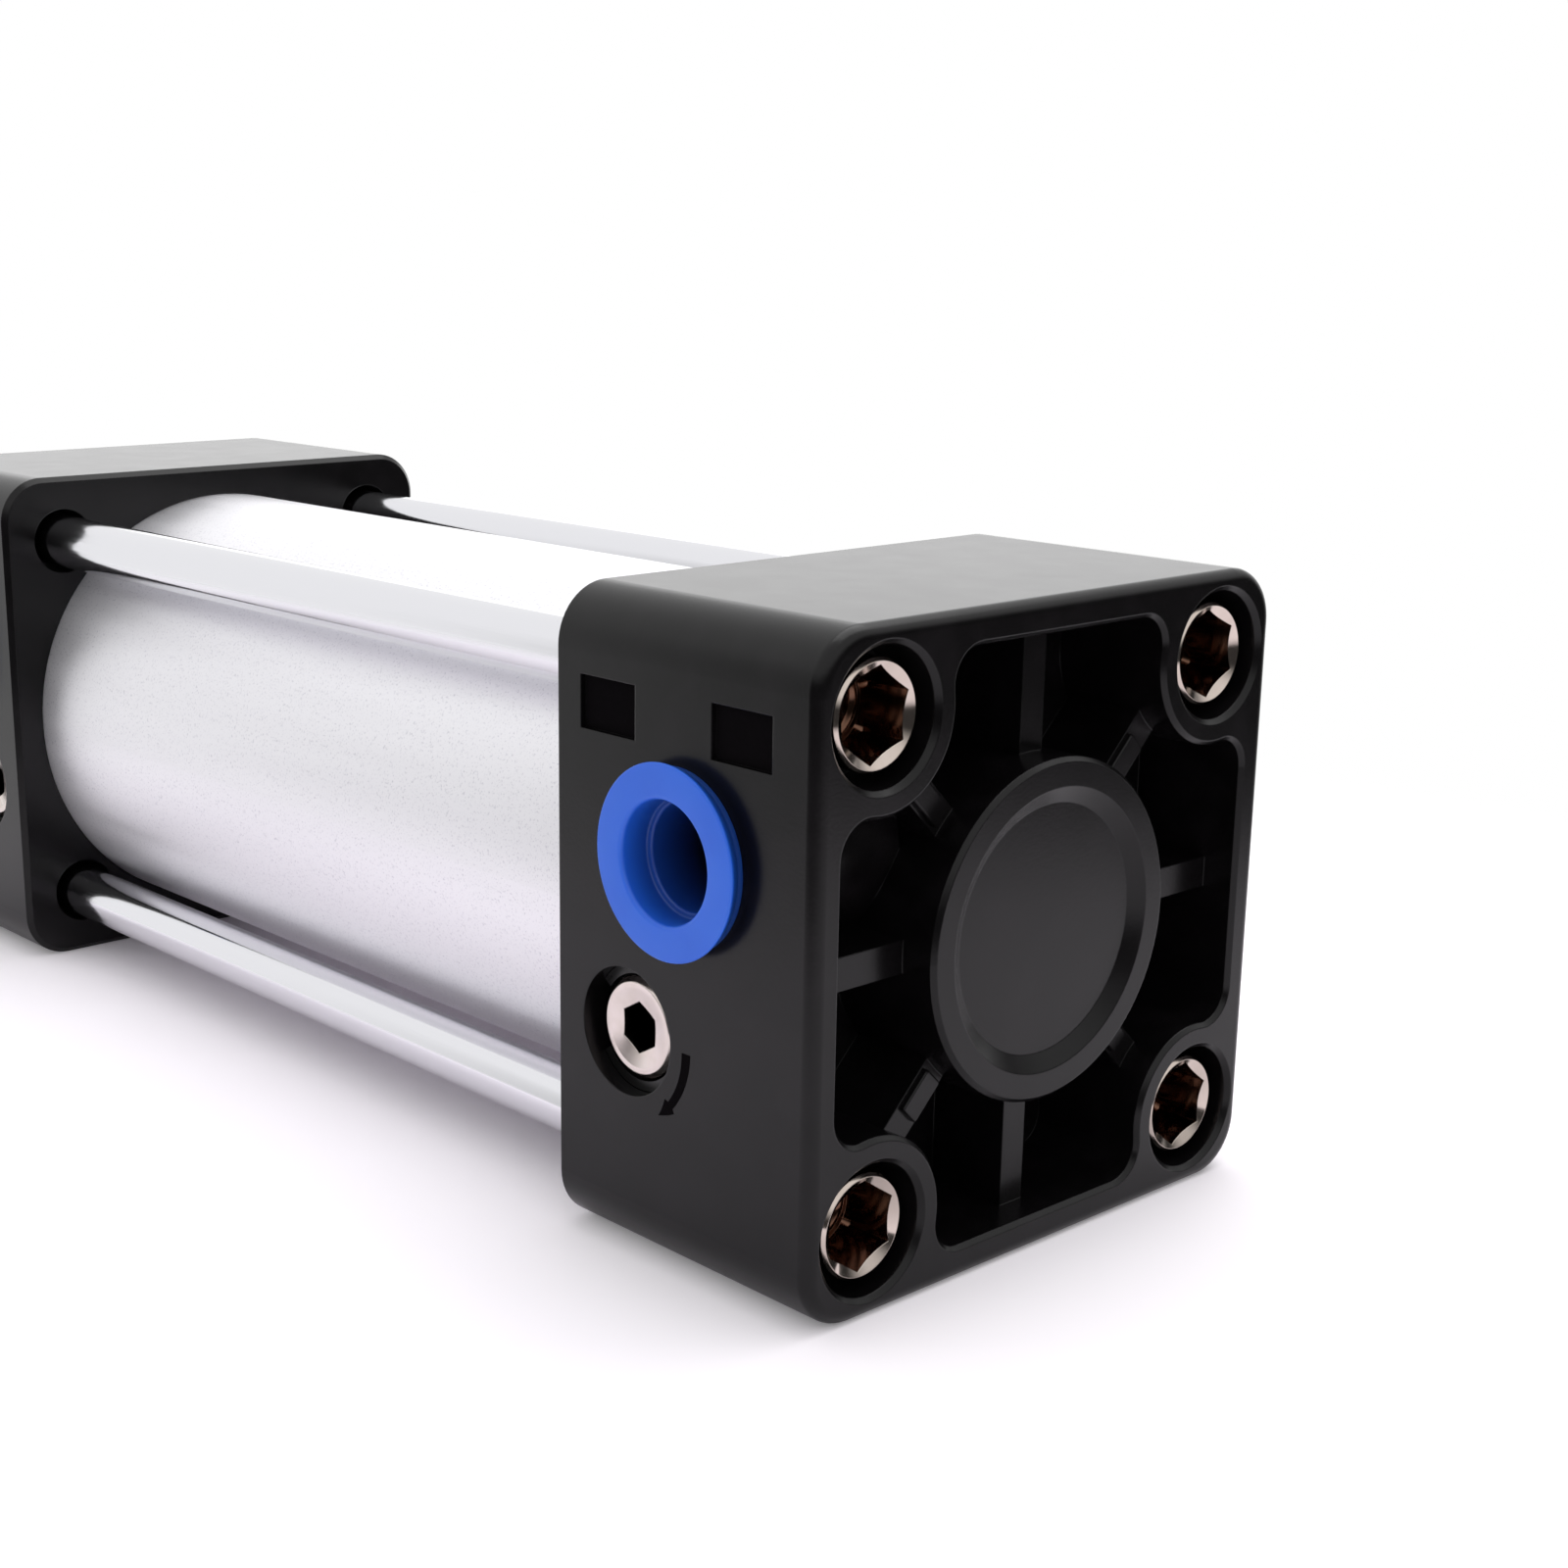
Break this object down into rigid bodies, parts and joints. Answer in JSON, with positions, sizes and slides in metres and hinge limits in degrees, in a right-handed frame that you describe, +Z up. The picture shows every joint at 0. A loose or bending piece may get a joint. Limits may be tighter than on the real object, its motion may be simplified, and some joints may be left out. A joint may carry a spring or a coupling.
{
  "type": "double-acting pneumatic cylinder",
  "caption": "Tie-rod pneumatic cylinder with square covers, a smooth barrel, plugged side ports, cushion needles and a threaded piston rod that pushes and pulls.",
  "frame": {"origin": "on the bore's axis, in the plane of the cap-end face", "axes": "+X the way the rod extends, +Y the side the ports face, +Z up"},
  "size_m": [0.192, 0.0515, 0.05],
  "materials": {
    "black_casting": "black coated die casting, semi-gloss",
    "satin_aluminium": "satin anodised tube",
    "machined_aluminium": "turned",
    "chromed_steel": "hard chromed and polished",
    "nickel_steel": "nickel plated",
    "zinc_steel": "zinc plated",
    "black_rubber": "moulded",
    "bronze": "sintered bronze",
    "wear_plastic": "turned",
    "blue_plastic": "moulded polyethylene"
  },
  "bodies": {
    "cylinder": {"cap_cover": "black_casting", "rod_cover": "black_casting", "barrel": "satin_aluminium", "tie_rods": "chromed_steel", "cap_tie_nuts": "nickel_steel", "rod_tie_nuts": "nickel_steel", "cap_barrel_seal": "black_rubber", "rod_barrel_seal": "black_rubber", "cap_cushion_seal": "black_rubber", "rod_cushion_seal": "black_rubber", "rod_bush": "bronze", "rod_seal": "black_rubber"},
    "piston_seals": {"piston_seal_cap": "black_rubber", "piston_seal_rod": "black_rubber", "piston_wear_ring": "wear_plastic"},
    "rod": {"piston_rod": "chromed_steel", "piston": "machined_aluminium", "piston_bore_seal": "black_rubber", "cap_cushion_spear": "machined_aluminium", "rod_cushion_sleeve": "machined_aluminium", "piston_nut": "zinc_steel", "rod_end_nut": "zinc_steel"},
    "cap_needle_ring": {"cap_needle_seal": "black_rubber"},
    "cap_needle_screw": {"cap_needle": "nickel_steel"},
    "rod_needle_ring": {"rod_needle_seal": "black_rubber"},
    "rod_needle_screw": {"rod_needle": "nickel_steel"},
    "cap_plug": {"cap_port_plug": "blue_plastic"},
    "rod_plug": {"rod_port_plug": "blue_plastic"}
  },
  "joints": [
    {"name": "rod_slide", "type": "slide", "parent": "cylinder", "child": "piston_seals", "axis": [1, 0, 0], "range_m": [0, 0.05]},
    {"name": "rod_spin", "type": "hinge", "parent": "piston_seals", "child": "rod", "pos_m": [0, 0, 0], "axis": [1, 0, 0], "continuous": true},
    {"name": "cap_needle_travel", "type": "slide", "parent": "cylinder", "child": "cap_needle_ring", "axis": [0, 1, 0], "range_m": [-0.0005, 0.001]},
    {"name": "cap_needle_turn", "type": "hinge", "parent": "cap_needle_ring", "child": "cap_needle_screw", "pos_m": [0.0193, 0.02395, -0.0072], "axis": [0, 1, 0], "range_deg": [-361, 721]},
    {"name": "cap_plug_pull", "type": "slide", "parent": "cylinder", "child": "cap_plug", "axis": [0, 1, 0], "range_m": [0, 0.06]},
    {"name": "rod_needle_travel", "type": "slide", "parent": "cylinder", "child": "rod_needle_ring", "axis": [0, 1, 0], "range_m": [-0.0005, 0.001]},
    {"name": "rod_needle_turn", "type": "hinge", "parent": "rod_needle_ring", "child": "rod_needle_screw", "pos_m": [0.1237, 0.02395, -0.0072], "axis": [0, 1, 0], "range_deg": [-361, 721]},
    {"name": "rod_plug_pull", "type": "slide", "parent": "cylinder", "child": "rod_plug", "axis": [0, 1, 0], "range_m": [0, 0.06]}
  ],
  "couplings": [
    {"joint": "cap_needle_turn", "follows": "cap_needle_travel", "rad_per_m": 12566},
    {"joint": "rod_needle_turn", "follows": "rod_needle_travel", "rad_per_m": 12566}
  ]
}
